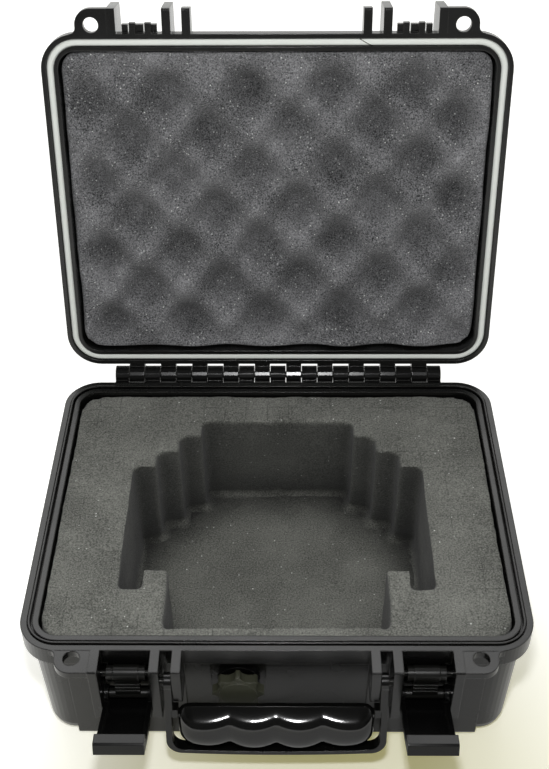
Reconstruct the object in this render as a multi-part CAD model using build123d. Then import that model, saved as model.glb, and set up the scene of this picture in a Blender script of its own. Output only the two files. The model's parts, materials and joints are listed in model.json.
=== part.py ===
"""A small hard carrying case for headphones, standing open.

A moulded base and lid on a pinned knuckle hinge, plucked foam in the base, egg-crate foam in
the lid, a ring gasket, two draw latches, a folding handle, a purge valve and padlock ears.

Millimetres, +Z up, the front faces -Y. The origin is the centre of the underside. The lid is
modelled closed and then turned open about the hinge pin, which is the pose that is exported.
"""
from build123d import *
import math
import os

# Overall size, over the rims.
CASE_WIDTH = 260.0
CASE_DEPTH = 203.0
BASE_HEIGHT = 81.0
LID_HEIGHT = 36.0
LID_OPEN_ANGLE = 101.65
RIM_GAP = 0.2                # between the rims when the lid is closed

# Moulded walls.
RIM_CORNER = 20.0
RIM_WIDTH = 9.2              # from the outside of the rim to the cavity
BASE_BAND = 11.0             # height of the rim's outer band on the base
WALL_STEP = 3.8              # how far the wall lies inside the band
WALL_DRAFT = 2.5             # further in at the foot of the base's wall
LID_DRAFT = 1.3              # the same, at the top of the lid's wall
WALL_CORNER = 18.0
FLOOR_THICKNESS = 3.2
EDGE_ROUND = 8.0             # around the underside and the top of the lid
ROUND_STEPS = 3              # flats that stand for that round
CAVITY_STEPS = 2             # the same, on the inside

# Seal: a ridge on the base's rim presses into a ring in the lid's rim.
RIDGE_INSET = 3.9
RIDGE_WIDTH = 1.0
RIDGE_HEIGHT = 0.8
SEAL_GROOVE_INSET = 3.4
SEAL_GROOVE_WIDTH = 2.7
SEAL_GROOVE_DEPTH = 3.0
GASKET_INSET = 2.6
GASKET_WIDTH = 4.3
GASKET_DEPTH = 5.0
SOFT_GAP = 0.3               # left between a soft piece and its neighbours

# Front ribs, ears and pads. Their places are measured in from the case's sides.
RIB_WIDTH = 4.7
RIB_REACH = 13.5             # in front of the rim
RIB_FOOT_REACH = 12.5        # the same, at the rib's far end
RIB_ROOT = 1.5               # how far the ribs run into the wall
RIB_CHAMFER = 1.5            # at the far end of a rib's front edge
RIB_TOP_CHAMFER = 0.6        # where that edge starts, at the rim
RIB_HEEL = 3.0               # how much further the far end reaches along the wall
BAY_RIB_INSET = 40.15
MIDDLE_RIB_INSET = 70.0
HANDLE_RIB_INSET = 80.8
LONG_RIB_LENGTH = 40.4
SHORT_RIB_LENGTH = 26.4
LID_LONG_RIB_LENGTH = 24.0
LID_SHORT_RIB_LENGTH = 12.0
RIB_EDGE = 3.0               # the straight front edge before the rib draws in
EAR_HOLE_INSET = 29.1
EAR_HOLE_REACH = 4.8
EAR_HOLE_RADIUS = 4.2
EAR_THICKNESS = 4.0
EAR_FILLET = 3.5             # in the corner between the ear and the band
EAR_ROOT = 1.5               # how far the ear follows the band round its corner
PAD_INSET = 23.1
PAD_PROUD = 1.2
PAD_ROUND = 3.0
PAD_DEPTH = 20.0             # how deep a block the pads are cut from
BAY_RECESS_DEPTH = 45.0      # below the rim, where the pad is left out for the finger end

# Hinge.
HINGE_SETBACK = 7.5          # axis behind the rim's back edge
KNUCKLE_RADIUS = 5.6
KNUCKLE_COUNT = 19           # between the two end knuckles
KNUCKLE_PITCH = 9.79
END_KNUCKLE = 8.5
KNUCKLE_GAP = 0.35
KNUCKLE_ROOT = 9.0           # how far the web that carries a knuckle runs along the band
KNUCKLE_SINK = 1.5           # how far that web runs into the band
KNUCKLE_SHOULDER = 45.0      # where the web leaves the barrel, round from level
KNUCKLE_SIDES = 16           # flats round a barrel and its bore
HINGE_PIN_RADIUS = 2.0
HINGE_PIN_INSET = 0.5        # of each end of the pin, inside its end knuckle
PIN_PLAY = 0.05              # radial, at every turning fit

# Foam.
FOAM_CELL = 12.83            # pitch of the pluck grid
FOAM_COLUMNS = 13            # across the widest part of the pocket
FOAM_FRONT_STRIP = 16.2      # from the rim's front to the pocket
FOAM_BELOW_RIM = 3.0
FOAM_PAD_THICKNESS = 12.0
FOAM_WALL_GAP = 1.0
LID_FOAM_PITCH = 33.4        # between bumps, along the diagonals
LID_FOAM_FLAT = 6.0          # width of each crest and each valley
LID_FOAM_TURN = -3.5         # of the bumps' rows, from the case's diagonals
LID_FOAM_CREST = (13.0, 23.0)
LID_FOAM_BACKING = 22.0
LID_FOAM_BUMP = 9.0

# Latches: a link pinned in the bay, a lever pinned to the link, a striker on the lid.
LATCH_WIDTH = 24.6
LEVER_WALL = 2.3
LEVER_FLOOR = 2.0
LEVER_OPEN_ANGLE = 18.0      # above level, in the open pose
LEVER_TAIL = 9.5             # from the lever pin to the finger end
LEVER_TAIL_DROP = 1.6        # of the finger end below the outer face
LEVER_STRAIGHT = 26.0        # from the lever pin to where the outer face draws in
LEVER_HOOK = 36.2            # from the lever pin to the hook's inner face
HOOK_THICKNESS = 6.0
HOOK_RISE = 2.5              # of the hook's outer corner over the lever pin's axis
HOOK_LIP = 3.6               # the same, at its inner edge
HOOK_CHAMFER = 0.8
LEVER_EDGE = -2.6            # the side walls' free edge, from that axis
LEVER_BACK = -6.6            # the lever's outer face, from that axis
HOOK_BACK = -4.0
LUG_RADIUS = 4.4             # of the two lugs, around the lever pin
LINK_PIN_REACH = 4.5         # both link pins, in front of the rim
LINK_PIN_DROP = 12.0         # base pin below the rim plane
LINK_LENGTH = 17.0
LINK_WIDTH = 19.4
LINK_BARREL_RADIUS = 4.2
LINK_END_RADIUS = 3.8        # of the barrel's two ends
LINK_FOOT_RADIUS = 2.6
LINK_WEB_WIDTH = 12.6
LINK_WEB_THICKNESS = 4.4
LINK_GROOVES = 3
LINK_GROOVE_DEPTH = 0.6
BASE_PIN_RADIUS = 2.0
BASE_PIN_SEAT = 3.2          # of each end, in its rib
LEVER_PIN_RADIUS = 1.5
LEVER_PIN_INSET = 0.2        # of each end, inside its lug
STRIKER_WIDTH = 19.0
STRIKER_REACH = 4.4
STRIKER_THICKNESS = 3.4
STRIKER_SLOT = 3.9
STRIKER_SLOT_X = 4.2
STRIKER_POST_REACH = 5.8
STRIKER_POST_SHIFT = 0.4     # of the posts, outwards from the slots' edges
STRIKER_POST_NARROW = 0.9
STRIKER_ROOT = 1.0           # how far the striker runs into the band
HOOK_CLEARANCE = 0.5         # between the closed hook and the striker

# Handle. Distances along it are measured down from its pivots.
HANDLE_PIVOT_REACH = 8.9
HANDLE_PIVOT_DROP = 12.8
HANDLE_REST_ANGLE = 14.0     # forward of hanging straight down
HANDLE_LENGTH = 45.2         # to the middle of the bottom band
HANDLE_BOW = 1.6             # of the bottom band
HANDLE_ARM = 3.9
HANDLE_ARM_GAP = 0.35        # beside the inner rib
HANDLE_SLOT_ARM = 3.2        # beside the slot, below the bridge
HANDLE_BOSS_RADIUS = 4.5
HANDLE_THICKNESS = 7.0
HANDLE_BAND = 2.0
HANDLE_CORNER = 8.0
HANDLE_PIN_RADIUS = 2.0
HANDLE_PIN_INSET = 0.5       # of each end, inside its rib
BRIDGE_START = 16.2
BRIDGE_HEIGHT = 4.8
BRIDGE_THINNER = 1.0         # than the frame
GRIP_END_GAP = 3.3           # between each end and the arm beside it
GRIP_FOOT_GAP = 2.0          # between the lobes and the bottom band
GRIP_LOBES = 4
GRIP_LOBE_PITCH = 23.5
GRIP_LOBE_DEPTH = 2.6
GRIP_BOW = 3.4               # how much shorter the grip is at its ends
GRIP_CORNER = 3.0
GRIP_THICKNESS = 14.0
GRIP_ROUND = 6.0
GRIP_CORE_THICKNESS = 5.0
GRIP_CORE_INSET = 3.0

# Purge valve, left of the middle.
VALVE_X = -19.4
VALVE_DROP = 30.0
VALVE_FRONT_REACH = 4.4
VALVE_BODY_RADIUS = 8.0
VALVE_FLANGE_RADIUS = 11.0
VALVE_FLANGE_THICKNESS = 1.6
VALVE_STEM_RADIUS = 4.0
VALVE_BODY_PROUD = 1.0       # of the bush, past its nut
KNOB_RADIUS = 13.2
KNOB_LOBES = 8
KNOB_SCALLOP_RADIUS = 5.0
KNOB_SCALLOP_CENTRE = 15.4
KNOB_THICKNESS = 5.0
KNOB_FACE_RADIUS = 9.6
KNOB_FACE_RISE = 1.0
VALVE_RECESS_WIDTH = 28.0
VALVE_RECESS_DEPTH = 1.2
VALVE_RECESS_HEIGHT = 44.0
NUT_WIDTH = 22.0
NUT_THICKNESS = 2.4
NUT_GAP = 0.6                # to the drafted wall behind it
NUT_ROOM = 1.0               # around it, in the foam
SEAL_RING_WIDTH = 1.8
SEAL_RING_THICKNESS = 1.6
SEAL_RING_PLAY = 0.1         # around the stem

# Places worked out from the sizes.
FRONT = -CASE_DEPTH / 2
BACK = CASE_DEPTH / 2
RIM_Z = BASE_HEIGHT
HINGE_Y = BACK + HINGE_SETBACK
HINGE_AXIS = Axis((0, HINGE_Y, RIM_Z), (1, 0, 0))
SIDE_X = CASE_WIDTH / 2
BAY_RIB_X = SIDE_X - BAY_RIB_INSET
MIDDLE_RIB_X = SIDE_X - MIDDLE_RIB_INSET
HANDLE_RIB_X = SIDE_X - HANDLE_RIB_INSET
EAR_HOLE_X = SIDE_X - EAR_HOLE_INSET
PAD_OUTER_X = SIDE_X - PAD_INSET
BAY_OUTER_X = BAY_RIB_X - RIB_WIDTH / 2
BAY_INNER_X = MIDDLE_RIB_X + RIB_WIDTH / 2
LATCH_X = (BAY_OUTER_X + BAY_INNER_X) / 2
BASE_PIN_LENGTH = BAY_OUTER_X - BAY_INNER_X + 2 * BASE_PIN_SEAT
ARM_X = HANDLE_RIB_X + RIB_WIDTH / 2 + HANDLE_ARM_GAP + HANDLE_ARM / 2
HANDLE_PIN_X = (MIDDLE_RIB_X + HANDLE_RIB_X) / 2
HANDLE_PIN_LENGTH = MIDDLE_RIB_X - HANDLE_RIB_X + RIB_WIDTH - 2 * HANDLE_PIN_INSET
HANDLE_SLOT_X = ARM_X + HANDLE_ARM / 2 - HANDLE_SLOT_ARM
GRIP_HALF_WIDTH = HANDLE_SLOT_X - GRIP_END_GAP
GRIP_BOTTOM = HANDLE_LENGTH - HANDLE_BAND - GRIP_FOOT_GAP
LID_BOTTOM = RIM_Z + RIM_GAP
LID_TOP = RIM_Z + LID_HEIGHT
WALL_TOP = RIM_Z - BASE_BAND
LINK_Y = FRONT - LINK_PIN_REACH
BASE_PIN_Z = RIM_Z - LINK_PIN_DROP
LEVER_PIN_Z = BASE_PIN_Z - LINK_LENGTH
STRIKER_TOP = LEVER_PIN_Z + LEVER_HOOK - HOOK_CLEARANCE
LID_BAND = STRIKER_TOP - LID_BOTTOM
HANDLE_Y = FRONT - HANDLE_PIVOT_REACH
HANDLE_Z = RIM_Z - HANDLE_PIVOT_DROP
VALVE_Z = RIM_Z - VALVE_DROP
FAR = 400.0                  # longer than anything that is cut


def outline(inset, corner):
    """The case's plan, drawn in from the rim."""
    return RectangleRounded(CASE_WIDTH - 2 * inset, CASE_DEPTH - 2 * inset, corner)


def slab(inset, low, high, corner=None):
    """A straight-sided block with the case's plan."""
    radius = RIM_CORNER - inset if corner is None else corner
    return extrude(Pos(0, 0, low) * outline(inset, radius), high - low)


def ring(inset, width, low, high):
    """A rounded frame, its outer side drawn in from the rim."""
    return slab(inset, low, high) - slab(inset + width, low, high)


def through(sections):
    """A block with the case's plan, through sections given as height, inset and corner radius."""
    return loft([Pos(0, 0, z) * outline(inset, corner) for z, inset, corner in sections], ruled=True)


def drafted(edge, inset, end, end_inset, corner):
    """A block whose walls lean, from its edge at the rim to its far end."""
    return through([(edge, inset, corner), (end, end_inset, corner - end_inset + inset)])


def rounded(edge, inset, end, end_inset, corner, radius, steps):
    """The same, its far end rounded off in flats."""
    towards = math.copysign(1, end - edge)
    sections = [(edge, inset, corner)]
    for step in range(steps + 1):
        turn = math.radians(90 * step / steps)
        drawn_in = end_inset + radius * (1 - math.cos(turn))
        height = end - towards * radius * (1 - math.sin(turn))
        sections.append((height, drawn_in, corner - drawn_in + inset))
    return through(sections)


def box_between(low, high):
    """A box from its two far corners."""
    size = [b - a for a, b in zip(low, high)]
    middle = [(a + b) / 2 for a, b in zip(low, high)]
    return Pos(*middle) * Box(*size)


def rod(centre_x, y, z, radius, length):
    """A round bar along X."""
    return Pos(centre_x, y, z) * Rot(0, 90, 0) * Cylinder(radius, length)


def flat_sided_rod(centre_x, y, z, radius, length):
    """A bar along X with flats in place of its round, each touching the radius."""
    plan = RegularPolygon(radius, KNUCKLE_SIDES, major_radius=False)
    return Pos(centre_x, y, z) * Rot(0, 90, 0) * extrude(plan, length / 2, both=True)


def side_plate(points, centre_x, width):
    """A plate across X, from a profile given as pairs of Y and Z."""
    profile = make_face(Polyline(*[(y, z) for y, z in points], close=True))
    return Pos(centre_x, 0, 0) * extrude(Plane.YZ * profile, width / 2, both=True)


def mirrored(shape):
    """The same shape on the other side of the case."""
    return mirror(shape, Plane.YZ)


def both(shape):
    """The shape with its mirror image."""
    return shape + mirrored(shape)


def opened(shape):
    """A piece of the closed lid, turned to the open pose."""
    return shape.rotate(HINGE_AXIS, -LID_OPEN_ANGLE)


def rib(centre_x, length, sign):
    """A front rib, hanging from the rim (sign -1) or rising from it (sign 1)."""
    start = RIM_Z if sign < 0 else LID_BOTTOM
    root = FRONT + WALL_STEP + RIB_ROOT
    return side_plate([
        (root, start),
        (FRONT - RIB_REACH + RIB_TOP_CHAMFER, start),
        (FRONT - RIB_REACH, start + sign * RIB_TOP_CHAMFER),
        (FRONT - RIB_REACH, start + sign * RIB_EDGE),
        (FRONT - RIB_FOOT_REACH, start + sign * (length - RIB_CHAMFER)),
        (FRONT - RIB_FOOT_REACH + RIB_CHAMFER, start + sign * length),
        (root, start + sign * (length + RIB_HEEL)),
    ], centre_x, RIB_WIDTH)


def plan_box(x_low, x_high, y_low, y_high):
    """A rectangle of the plan from its sides."""
    return Pos((x_low + x_high) / 2, (y_low + y_high) / 2) * Rectangle(x_high - x_low, y_high - y_low)


def make_ear(low, high):
    """A padlock ear at the right front corner, set against the band and the bay's rib."""
    round_radius = RIB_REACH - EAR_HOLE_REACH
    hole_y = FRONT - EAR_HOLE_REACH
    side_x = EAR_HOLE_X + round_radius
    fillet_x = side_x + EAR_FILLET
    plan = plan_box(BAY_RIB_X + RIB_WIDTH / 2, EAR_HOLE_X, FRONT - RIB_REACH, FRONT)
    plan += plan_box(EAR_HOLE_X, side_x, hole_y, FRONT)
    plan += Pos(EAR_HOLE_X, hole_y) * Circle(round_radius)
    corner = plan_box(side_x, fillet_x, FRONT - EAR_FILLET, FRONT + EAR_ROOT)
    plan += corner - Pos(fillet_x, FRONT - EAR_FILLET) * Circle(EAR_FILLET)
    plate = extrude(Pos(0, 0, low) * plan, high - low) - slab(0, low, high)
    return plate - Pos(EAR_HOLE_X, hole_y, (low + high) / 2) * Cylinder(EAR_HOLE_RADIUS, FAR)


def knuckle(centre_x, width, sign):
    """One knuckle: its barrel, and a web down the base's band (-1) or up the lid's (1)."""
    edge = RIM_Z if sign < 0 else LID_BOTTOM
    barrel = flat_sided_rod(centre_x, HINGE_Y, RIM_Z, KNUCKLE_RADIUS, width)
    shoulder_y = HINGE_Y + KNUCKLE_RADIUS * math.cos(math.radians(KNUCKLE_SHOULDER))
    shoulder_z = edge + sign * KNUCKLE_RADIUS * math.sin(math.radians(KNUCKLE_SHOULDER))
    web = side_plate([
        (BACK - KNUCKLE_SINK, edge),
        (HINGE_Y, edge),
        (shoulder_y, shoulder_z),
        (BACK - KNUCKLE_SINK, edge + sign * KNUCKLE_ROOT),
    ], centre_x, width)
    return barrel + web


def hinge_side(sign):
    """All knuckles of one moulding, and the bore for the pin."""
    first_x = -(KNUCKLE_COUNT - 1) * KNUCKLE_PITCH / 2
    first = 0 if sign > 0 else 1
    solids = [
        knuckle(first_x + index * KNUCKLE_PITCH, KNUCKLE_PITCH - KNUCKLE_GAP, sign)
        for index in range(first, KNUCKLE_COUNT, 2)
    ]
    if sign < 0:
        end_x = KNUCKLE_COUNT * KNUCKLE_PITCH / 2 + END_KNUCKLE / 2
        end = knuckle(end_x, END_KNUCKLE - KNUCKLE_GAP, sign)
        solids += [end, mirrored(end)]
    return Compound(solids), flat_sided_rod(0, HINGE_Y, RIM_Z, HINGE_PIN_RADIUS + PIN_PLAY, FAR)


def make_base_shell():
    """The deep moulding: rim band, drafted walls, ribs, pads and hinge knuckles."""
    foot_inset = WALL_STEP + WALL_DRAFT
    body = slab(0, WALL_TOP, RIM_Z)
    body += rounded(WALL_TOP, WALL_STEP, 0, foot_inset, WALL_CORNER, EDGE_ROUND, ROUND_STEPS)
    pads = rounded(
        WALL_TOP, WALL_STEP - PAD_PROUD, 0, foot_inset - PAD_PROUD, WALL_CORNER, PAD_ROUND, CAVITY_STEPS)
    pad_inner_x = HANDLE_RIB_X - RIB_WIDTH / 2
    pads = pads & both(box_between((pad_inner_x, FRONT, 0), (PAD_OUTER_X, FRONT + PAD_DEPTH, WALL_TOP)))
    bay_low = (BAY_INNER_X, FRONT, RIM_Z - BAY_RECESS_DEPTH)
    body += pads - both(box_between(bay_low, (BAY_OUTER_X, FRONT + PAD_DEPTH, WALL_TOP)))
    for centre_x, length in (
            (BAY_RIB_X, LONG_RIB_LENGTH), (MIDDLE_RIB_X, LONG_RIB_LENGTH),
            (HANDLE_RIB_X, SHORT_RIB_LENGTH)):
        body += both(rib(centre_x, length, -1))
    barrels, bore = hinge_side(-1)
    body += barrels
    recess_low = (VALVE_X - VALVE_RECESS_WIDTH / 2, FRONT, WALL_TOP - VALVE_RECESS_HEIGHT)
    recess_high = (VALVE_X + VALVE_RECESS_WIDTH / 2, FRONT + WALL_STEP + VALVE_RECESS_DEPTH, WALL_TOP)
    body -= box_between(recess_low, recess_high)
    body -= rounded(
        RIM_Z, RIM_WIDTH, FLOOR_THICKNESS, RIM_WIDTH + WALL_DRAFT, RIM_CORNER - RIM_WIDTH,
        EDGE_ROUND - FLOOR_THICKNESS, CAVITY_STEPS)
    groove_low = RIM_Z - SEAL_GROOVE_DEPTH
    body -= ring(SEAL_GROOVE_INSET, SEAL_GROOVE_WIDTH, groove_low, RIM_Z)
    body += ring(RIDGE_INSET, RIDGE_WIDTH, groove_low, RIM_Z + RIDGE_HEIGHT)
    body -= bore
    body -= both(rod(LATCH_X, LINK_Y, BASE_PIN_Z, BASE_PIN_RADIUS, BASE_PIN_LENGTH))
    body -= both(rod(HANDLE_PIN_X, HANDLE_Y, HANDLE_Z, HANDLE_PIN_RADIUS, HANDLE_PIN_LENGTH))
    return body - valve_axis_cylinder(VALVE_BODY_RADIUS, FRONT, FRONT + RIM_WIDTH + WALL_DRAFT)


def valve_axis_cylinder(radius, y_low, y_high):
    """A round bar along the valve's axis."""
    return Pos(VALVE_X, (y_low + y_high) / 2, VALVE_Z) * Rot(90, 0, 0) * Cylinder(radius, y_high - y_low)


def striker():
    """The slotted ledge that the right latch hooks over, with its two posts."""
    low = STRIKER_TOP - STRIKER_THICKNESS
    root = FRONT + STRIKER_ROOT
    ledge = box_between(
        (LATCH_X - STRIKER_WIDTH / 2, FRONT - STRIKER_REACH, low),
        (LATCH_X + STRIKER_WIDTH / 2, root, STRIKER_TOP))
    for side in (-1, 1):
        slot_low_x = LATCH_X + side * STRIKER_SLOT_X - STRIKER_SLOT / 2
        slot_high_x = slot_low_x + STRIKER_SLOT
        ledge -= box_between((slot_low_x, FRONT - FAR, low), (slot_high_x, FRONT, STRIKER_TOP))
        ledge += box_between(
            (slot_low_x - STRIKER_POST_SHIFT, FRONT - STRIKER_POST_REACH, LID_BOTTOM),
            (slot_high_x - STRIKER_POST_NARROW, root, low + STRIKER_POST_SHIFT))
    return ledge


def make_lid_shell():
    """The shallow moulding, closed: rim band, drafted walls, ribs, strikers, knuckles."""
    band_top = LID_BOTTOM + LID_BAND
    body = slab(0, LID_BOTTOM, band_top)
    body += rounded(
        band_top, WALL_STEP, LID_TOP, WALL_STEP + LID_DRAFT, WALL_CORNER, EDGE_ROUND, ROUND_STEPS)
    for centre_x, length in (
            (BAY_RIB_X, LID_LONG_RIB_LENGTH), (MIDDLE_RIB_X, LID_LONG_RIB_LENGTH),
            (HANDLE_RIB_X, LID_SHORT_RIB_LENGTH)):
        body += both(rib(centre_x, length, 1))
    barrels, bore = hinge_side(1)
    body += both(striker())
    body += barrels
    body -= rounded(
        LID_BOTTOM, RIM_WIDTH, LID_TOP - FLOOR_THICKNESS, RIM_WIDTH + LID_DRAFT, RIM_CORNER - RIM_WIDTH,
        EDGE_ROUND - FLOOR_THICKNESS, CAVITY_STEPS)
    body -= ring(GASKET_INSET, GASKET_WIDTH, LID_BOTTOM, LID_BOTTOM + GASKET_DEPTH)
    return body - bore


def make_lid_gasket():
    """The ring that fills the groove in the lid's rim, clear of the base's ridge."""
    low = RIM_Z + RIDGE_HEIGHT + SOFT_GAP
    return ring(GASKET_INSET, GASKET_WIDTH, low, LID_BOTTOM + GASKET_DEPTH)


def wave_prism(angle, crest, high):
    """A block whose lower face rolls in flat-sided waves along one direction of the plan."""
    count = math.ceil(CASE_WIDTH / LID_FOAM_PITCH)
    points = []
    for index in range(-2 * count, 2 * count + 1):
        centre = index * LID_FOAM_PITCH / 2
        height = crest if index % 2 == 0 else crest + LID_FOAM_BUMP
        points += [(centre - LID_FOAM_FLAT / 2, height), (centre + LID_FOAM_FLAT / 2, height)]
    points += [(points[-1][0], high), (points[0][0], high)]
    prism = extrude(Plane.XZ * make_face(Polyline(*points, close=True)), CASE_WIDTH, both=True)
    return Pos(*LID_FOAM_CREST) * Rot(0, 0, angle) * prism


def make_lid_foam():
    """Egg-crate foam, closed: a block whose lower face is two crossed waves."""
    top = LID_TOP - FLOOR_THICKNESS
    crest = top - LID_FOAM_BACKING - LID_FOAM_BUMP
    inset = RIM_WIDTH + FOAM_WALL_GAP
    foam = rounded(
        LID_BOTTOM, inset, top, inset + LID_DRAFT, RIM_CORNER - RIM_WIDTH, EDGE_ROUND - FLOOR_THICKNESS,
        CAVITY_STEPS)
    for diagonal in (45, -45):
        foam = foam & wave_prism(diagonal + LID_FOAM_TURN, crest, top + LID_FOAM_BUMP)
    return foam


def pocket_rows():
    """The pocket's cells: for each row from the front, the runs of columns taken out."""
    last = FOAM_COLUMNS - 1
    rows = [[(2, last - 2)]] * 2
    rows += [[(0, 0), (2, last - 2), (last, last)]]
    rows += [[(0, last)]] * 6
    rows += [[(step, last - step)] for step in (1, 2, 3)]
    return rows


def make_base_foam():
    """The pluck foam, with its stepped pocket right through to the pad."""
    low = FLOOR_THICKNESS + FOAM_PAD_THICKNESS
    high = RIM_Z - FOAM_BELOW_RIM
    inset = RIM_WIDTH + FOAM_WALL_GAP
    foam = drafted(high, inset, low, inset + WALL_DRAFT, RIM_CORNER - RIM_WIDTH)
    left = -FOAM_COLUMNS * FOAM_CELL / 2
    front = FRONT + FOAM_FRONT_STRIP
    cells = []
    for row, runs in enumerate(pocket_rows()):
        for first, last in runs:
            cells.append(box_between(
                (left + first * FOAM_CELL, front + row * FOAM_CELL, low),
                (left + (last + 1) * FOAM_CELL, front + (row + 1) * FOAM_CELL, high)))
    pocket = cells[0]
    for cell in cells[1:]:
        pocket += cell
    foam -= pocket
    recess_end = valve_wall()[1] + NUT_THICKNESS + VALVE_BODY_PROUD + SOFT_GAP
    return foam - valve_axis_cylinder(NUT_WIDTH / 2 + NUT_ROOM, FRONT, recess_end)


def make_base_foam_pad():
    """The flat sheet under the pluck foam."""
    inset = RIM_WIDTH + WALL_DRAFT + FOAM_WALL_GAP
    return rounded(
        FLOOR_THICKNESS + FOAM_PAD_THICKNESS, inset, FLOOR_THICKNESS, inset,
        RIM_CORNER - RIM_WIDTH - WALL_DRAFT, EDGE_ROUND - FLOOR_THICKNESS, CAVITY_STEPS)


def make_hinge_pin():
    """The rod through every knuckle."""
    length = KNUCKLE_COUNT * KNUCKLE_PITCH + 2 * END_KNUCKLE - KNUCKLE_GAP - 2 * HINGE_PIN_INSET
    return rod(0, HINGE_Y, RIM_Z, HINGE_PIN_RADIUS, length)


def lever_frame(along, rise):
    """A point of the right lever: distances along it and over it, as Y and Z."""
    angle = math.radians(LEVER_OPEN_ANGLE)
    out = along * math.cos(angle) - rise * math.sin(angle)
    up = along * math.sin(angle) + rise * math.cos(angle)
    return LINK_Y - out, LEVER_PIN_Z + up


def lever_prism(points, width):
    """A profile of the lever, carried across it."""
    return side_plate([lever_frame(along, rise) for along, rise in points], LATCH_X, width)


def make_latch_lever():
    """The right latch's lever: a channel with two round lugs, a hook and a finger end."""
    end = LEVER_HOOK + HOOK_THICKNESS
    shape = lever_prism([
        (-LEVER_TAIL, LEVER_BACK - LEVER_TAIL_DROP),
        (-LEVER_TAIL / 2, LEVER_BACK),
        (LEVER_STRAIGHT, LEVER_BACK),
        (end, HOOK_BACK),
        (end, HOOK_RISE - HOOK_CHAMFER),
        (end - HOOK_CHAMFER, HOOK_RISE),
        (LEVER_HOOK, HOOK_LIP),
        (LEVER_HOOK - HOOK_CHAMFER, LEVER_EDGE),
        (-LEVER_TAIL, LEVER_EDGE),
    ], LATCH_WIDTH)
    shape += rod(LATCH_X, LINK_Y, LEVER_PIN_Z, LUG_RADIUS, LATCH_WIDTH)
    floor = LEVER_BACK + LEVER_FLOOR
    above = LUG_RADIUS + 1
    shape -= lever_prism([
        (LEVER_WALL - LEVER_TAIL, floor), (LEVER_STRAIGHT, floor), (LEVER_HOOK, HOOK_BACK + LEVER_FLOOR),
        (LEVER_HOOK, above), (LEVER_WALL - LEVER_TAIL, above)], LATCH_WIDTH - 2 * LEVER_WALL)
    return shape - rod(LATCH_X, LINK_Y, LEVER_PIN_Z, LEVER_PIN_RADIUS, LATCH_WIDTH + 1)


def make_latch_link():
    """The right latch's link: a barrel on the bay's pin, a grooved web, a foot on the lever's pin."""
    link = rod(LATCH_X, LINK_Y, BASE_PIN_Z, LINK_END_RADIUS, LINK_WIDTH)
    link += rod(LATCH_X, LINK_Y, BASE_PIN_Z, LINK_BARREL_RADIUS, LINK_WEB_WIDTH)
    link += rod(LATCH_X, LINK_Y, LEVER_PIN_Z, LINK_FOOT_RADIUS, LINK_WIDTH)
    half = LINK_WEB_THICKNESS / 2
    web = box_between(
        (LATCH_X - LINK_WEB_WIDTH / 2, LINK_Y - half, LEVER_PIN_Z),
        (LATCH_X + LINK_WEB_WIDTH / 2, LINK_Y + half, BASE_PIN_Z))
    open_low = LEVER_PIN_Z + LINK_FOOT_RADIUS
    open_high = BASE_PIN_Z - LINK_BARREL_RADIUS
    pitch = (open_high - open_low) / (LINK_GROOVES + 1)
    for index in range(LINK_GROOVES):
        groove_z = open_low + (index + 1) * pitch
        web -= box_between(
            (LATCH_X - LINK_WEB_WIDTH, LINK_Y - 2 * half, groove_z - pitch / 4),
            (LATCH_X + LINK_WEB_WIDTH, LINK_Y - half + LINK_GROOVE_DEPTH, groove_z + pitch / 4))
    link += web
    link -= rod(LATCH_X, LINK_Y, BASE_PIN_Z, BASE_PIN_RADIUS + PIN_PLAY, LINK_WIDTH + 1)
    return link - rod(LATCH_X, LINK_Y, LEVER_PIN_Z, LEVER_PIN_RADIUS + PIN_PLAY, LINK_WIDTH + 1)


def make_latch_base_pin():
    """The steel pin across the right latch bay, seated in its two ribs."""
    return rod(LATCH_X, LINK_Y, BASE_PIN_Z, BASE_PIN_RADIUS, BASE_PIN_LENGTH)


def make_latch_lever_pin():
    """The steel pin through the right lever's lugs and the link's foot."""
    return rod(LATCH_X, LINK_Y, LEVER_PIN_Z, LEVER_PIN_RADIUS, LATCH_WIDTH - 2 * LEVER_PIN_INSET)


def handle_plane():
    """The handle's own plane: X across, Y down from the pivots, Z towards the case's front."""
    angle = math.radians(HANDLE_REST_ANGLE)
    return Plane(
        origin=(0, HANDLE_Y, HANDLE_Z), x_dir=(1, 0, 0), z_dir=(0, -math.cos(angle), math.sin(angle)))


def handle_solid(sketch, thickness):
    """A flat shape of the handle, thickened evenly about its plane."""
    return extrude(handle_plane() * sketch, thickness / 2, both=True)


def handle_box(x_low, x_high, s_low, s_high):
    """A rectangle in the handle's plane, from distances below the pivots."""
    return Pos((x_low + x_high) / 2, -(s_low + s_high) / 2) * Rectangle(x_high - x_low, s_high - s_low)


def handle_outline(half_width, top, bottom, bow, corner):
    """A front view with straight sides, a bowed foot and rounded lower corners."""
    corner_y = -(bottom - bow)
    face = make_face([
        Polyline((half_width, corner_y), (half_width, -top), (-half_width, -top), (-half_width, corner_y)),
        ThreePointArc((-half_width, corner_y), (0, -bottom), (half_width, corner_y))])
    return fillet(face.vertices().group_by(Axis.Y)[0], corner)


def grip_foot(x):
    """How low the grip's lobes reach, in its front view."""
    return -(GRIP_BOTTOM - GRIP_BOW * (x / GRIP_HALF_WIDTH) ** 2)


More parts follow.
